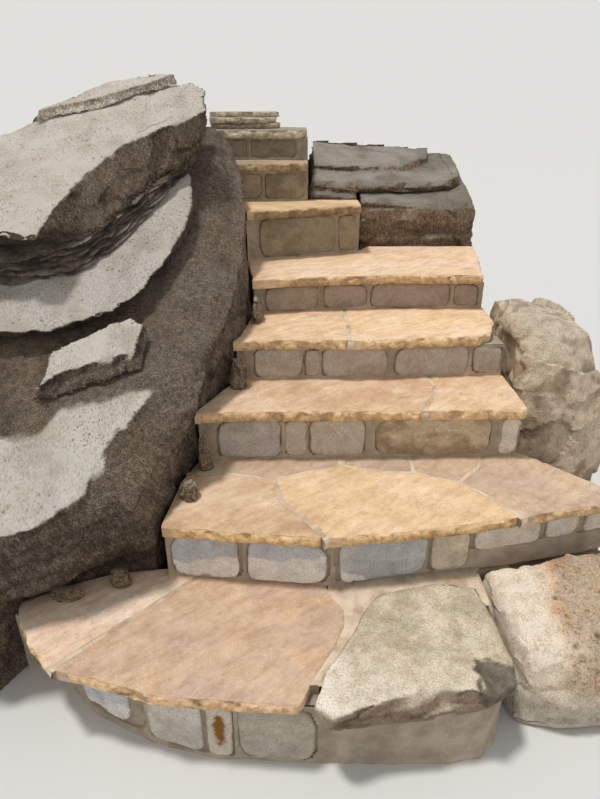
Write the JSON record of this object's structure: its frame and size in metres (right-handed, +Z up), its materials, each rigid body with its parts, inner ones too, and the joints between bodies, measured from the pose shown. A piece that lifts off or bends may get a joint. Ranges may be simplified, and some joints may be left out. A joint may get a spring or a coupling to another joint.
{
  "type": "outdoor stone steps",
  "caption": "Short flight of rustic flagstone steps with rough stone risers, curving left between a bedded rock outcrop and boulders.",
  "frame": {"origin": "on the ground, under the middle of the first tread, near the middle of the flight's width", "axes": "+X to the right of someone walking up, +Y uphill, +Z up"},
  "size_m": [2.5817, 3.0446, 1.7575],
  "materials": {
    "flagstone": "matt, split by hand",
    "rubble": "matt, rough",
    "mortar": "matt, sandy",
    "outcrop_rock": "matt, weathered",
    "boulder_rock": "matt, pitted"
  },
  "bodies": {
    "root": {"step_1_core": "mortar", "step_2_core": "mortar", "step_3_core": "mortar", "step_4_core": "mortar", "step_5_core": "mortar", "step_6_core": "mortar", "step_7_core": "mortar", "step_8_core": "mortar", "step_1_riser_stones": "rubble", "step_2_riser_stones": "rubble", "step_3_riser_stones": "rubble", "step_4_riser_stones": "rubble", "step_5_riser_stones": "rubble", "step_6_riser_stones": "rubble", "step_7_riser_stones": "rubble", "step_8_riser_stones": "rubble", "step_1_tread": "flagstone", "step_2_tread": "flagstone", "step_3_tread": "flagstone", "step_4_tread": "flagstone", "step_5_tread": "flagstone", "step_6_tread": "flagstone", "step_7_tread": "flagstone", "step_8_tread": "flagstone", "step_9_riser_slab": "flagstone", "step_9_tread": "flagstone", "step_10_tread": "flagstone", "flag_pointing": "mortar", "boulder_slab": "boulder_rock", "porous_boulder": "boulder_rock", "side_boulder": "boulder_rock", "rock_bench": "outcrop_rock", "rock_ledge": "outcrop_rock", "outcrop_base": "outcrop_rock", "outcrop_lower_ledge": "outcrop_rock", "outcrop_middle_bed": "outcrop_rock", "outcrop_thin_beds": "outcrop_rock", "outcrop_upper_bed": "outcrop_rock", "outcrop_cap": "outcrop_rock", "chinking_stones": "outcrop_rock", "right_side_wall": "rubble", "left_side_wall": "rubble", "back_wall": "rubble"}
  },
  "joints": []
}
